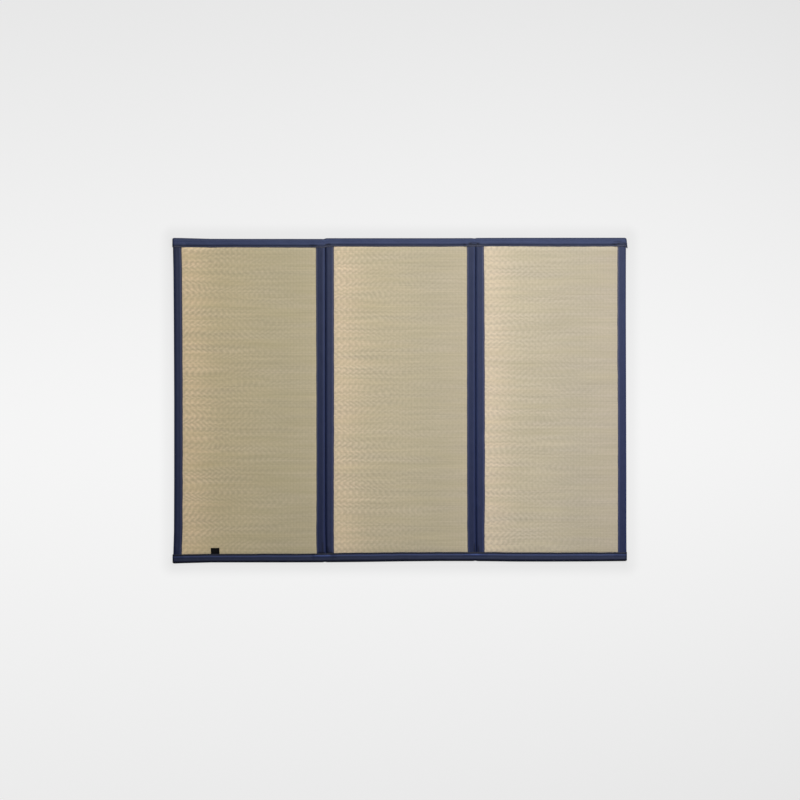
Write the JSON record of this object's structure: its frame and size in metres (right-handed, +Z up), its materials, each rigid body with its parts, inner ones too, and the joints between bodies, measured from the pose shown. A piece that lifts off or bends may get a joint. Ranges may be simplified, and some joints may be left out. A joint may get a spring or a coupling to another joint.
{
  "type": "tatami mat",
  "caption": "Folding floor mat lying open: rush-faced slabs side by side, with cloth tape folded round every edge, for sitting or sleeping on.",
  "frame": {"origin": "centre of the bounding box's underside, on the surface that the mat lies on", "axes": "+X along the mat's length, across the panels from left to right as seen from the foot; +Y towards the head binding; +Z up, out of the rush face"},
  "size_m": [1.9893, 1.4246, 0.0267],
  "materials": {
    "rush": "woven soft rush, beige to pale green, matt with a slight sheen along the stalks",
    "binding_cloth": "navy plain-weave cotton tape, matt",
    "label_cloth": "black woven label cloth, bare"
  },
  "bodies": {
    "root": {"rush_panel_left": "rush", "rush_panel_middle": "rush", "rush_panel_right": "rush", "binding_left_outer": "binding_cloth", "binding_left_fold": "binding_cloth", "binding_middle_left": "binding_cloth", "binding_middle_right": "binding_cloth", "binding_right_fold": "binding_cloth", "binding_right_outer": "binding_cloth", "binding_head": "binding_cloth", "binding_foot": "binding_cloth", "sewn_label": "label_cloth"}
  },
  "joints": []
}
